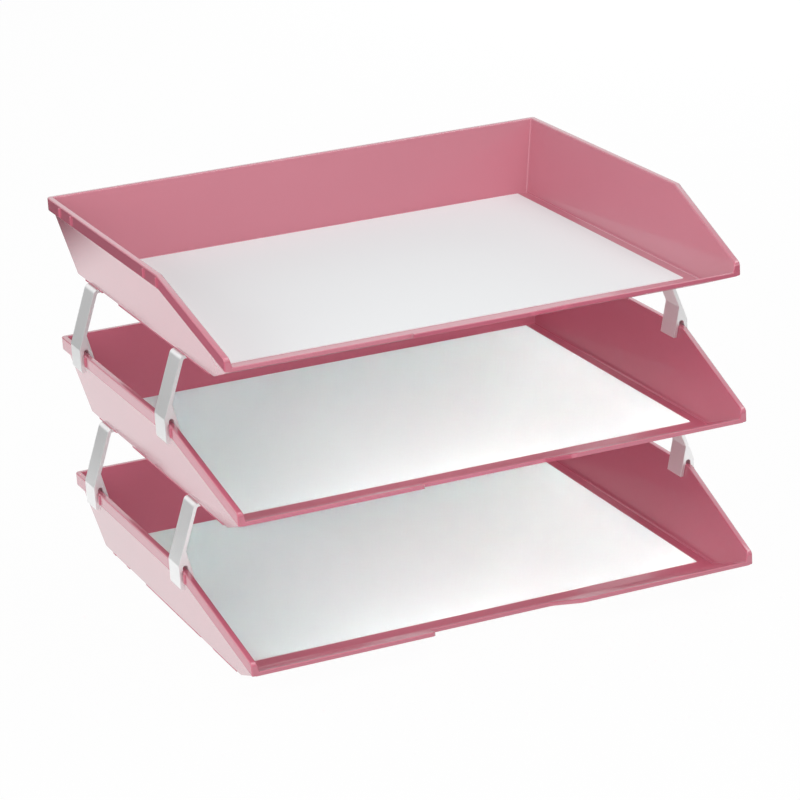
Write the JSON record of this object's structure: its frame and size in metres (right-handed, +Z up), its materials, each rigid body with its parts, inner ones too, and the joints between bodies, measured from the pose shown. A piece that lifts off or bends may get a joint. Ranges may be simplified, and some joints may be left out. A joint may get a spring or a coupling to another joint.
{
  "type": "stacking letter tray",
  "caption": "Stacking desk tray for letter paper: open-fronted moulded trays with leaning walls, a front ramp with a finger cut-out and a rim band, stacked on clip-on aluminium risers.",
  "frame": {"origin": "middle of the bounding box's underside, on the desk", "axes": "+X to the right seen from the open front, +Y to the rear, +Z up"},
  "size_m": [0.3246, 0.278, 0.219],
  "materials": {
    "moulded_tray": "glossy translucent rose",
    "riser_section": "satin",
    "letter_paper": "matte white"
  },
  "bodies": {
    "bottom": {"bottom_tray": "moulded_tray", "lower_riser_left_front": "riser_section", "lower_riser_left_rear": "riser_section", "lower_riser_right_front": "riser_section", "lower_riser_right_rear": "riser_section"},
    "middle": {"middle_tray": "moulded_tray", "upper_riser_left_front": "riser_section", "upper_riser_left_rear": "riser_section", "upper_riser_right_front": "riser_section", "upper_riser_right_rear": "riser_section"},
    "top": {"top_tray": "moulded_tray"},
    "bottom_paper": {"bottom_sheet": "letter_paper"},
    "middle_paper": {"middle_sheet": "letter_paper"},
    "top_paper": {"top_sheet": "letter_paper"}
  },
  "joints": [
    {"name": "middle_lift", "type": "slide", "parent": "bottom", "child": "middle", "axis": [0, 0, 1], "range_m": [0, 0.06]},
    {"name": "top_lift", "type": "slide", "parent": "middle", "child": "top", "axis": [0, 0, 1], "range_m": [0, 0.06]},
    {"name": "bottom_sheet_pull", "type": "slide", "parent": "bottom", "child": "bottom_paper", "axis": [0, -0.9388, 0.3445], "range_m": [0, 0.2]},
    {"name": "middle_sheet_pull", "type": "slide", "parent": "middle", "child": "middle_paper", "axis": [0, -0.9388, 0.3445], "range_m": [0, 0.2]},
    {"name": "top_sheet_pull", "type": "slide", "parent": "top", "child": "top_paper", "axis": [0, -0.9388, 0.3445], "range_m": [0, 0.2]}
  ]
}
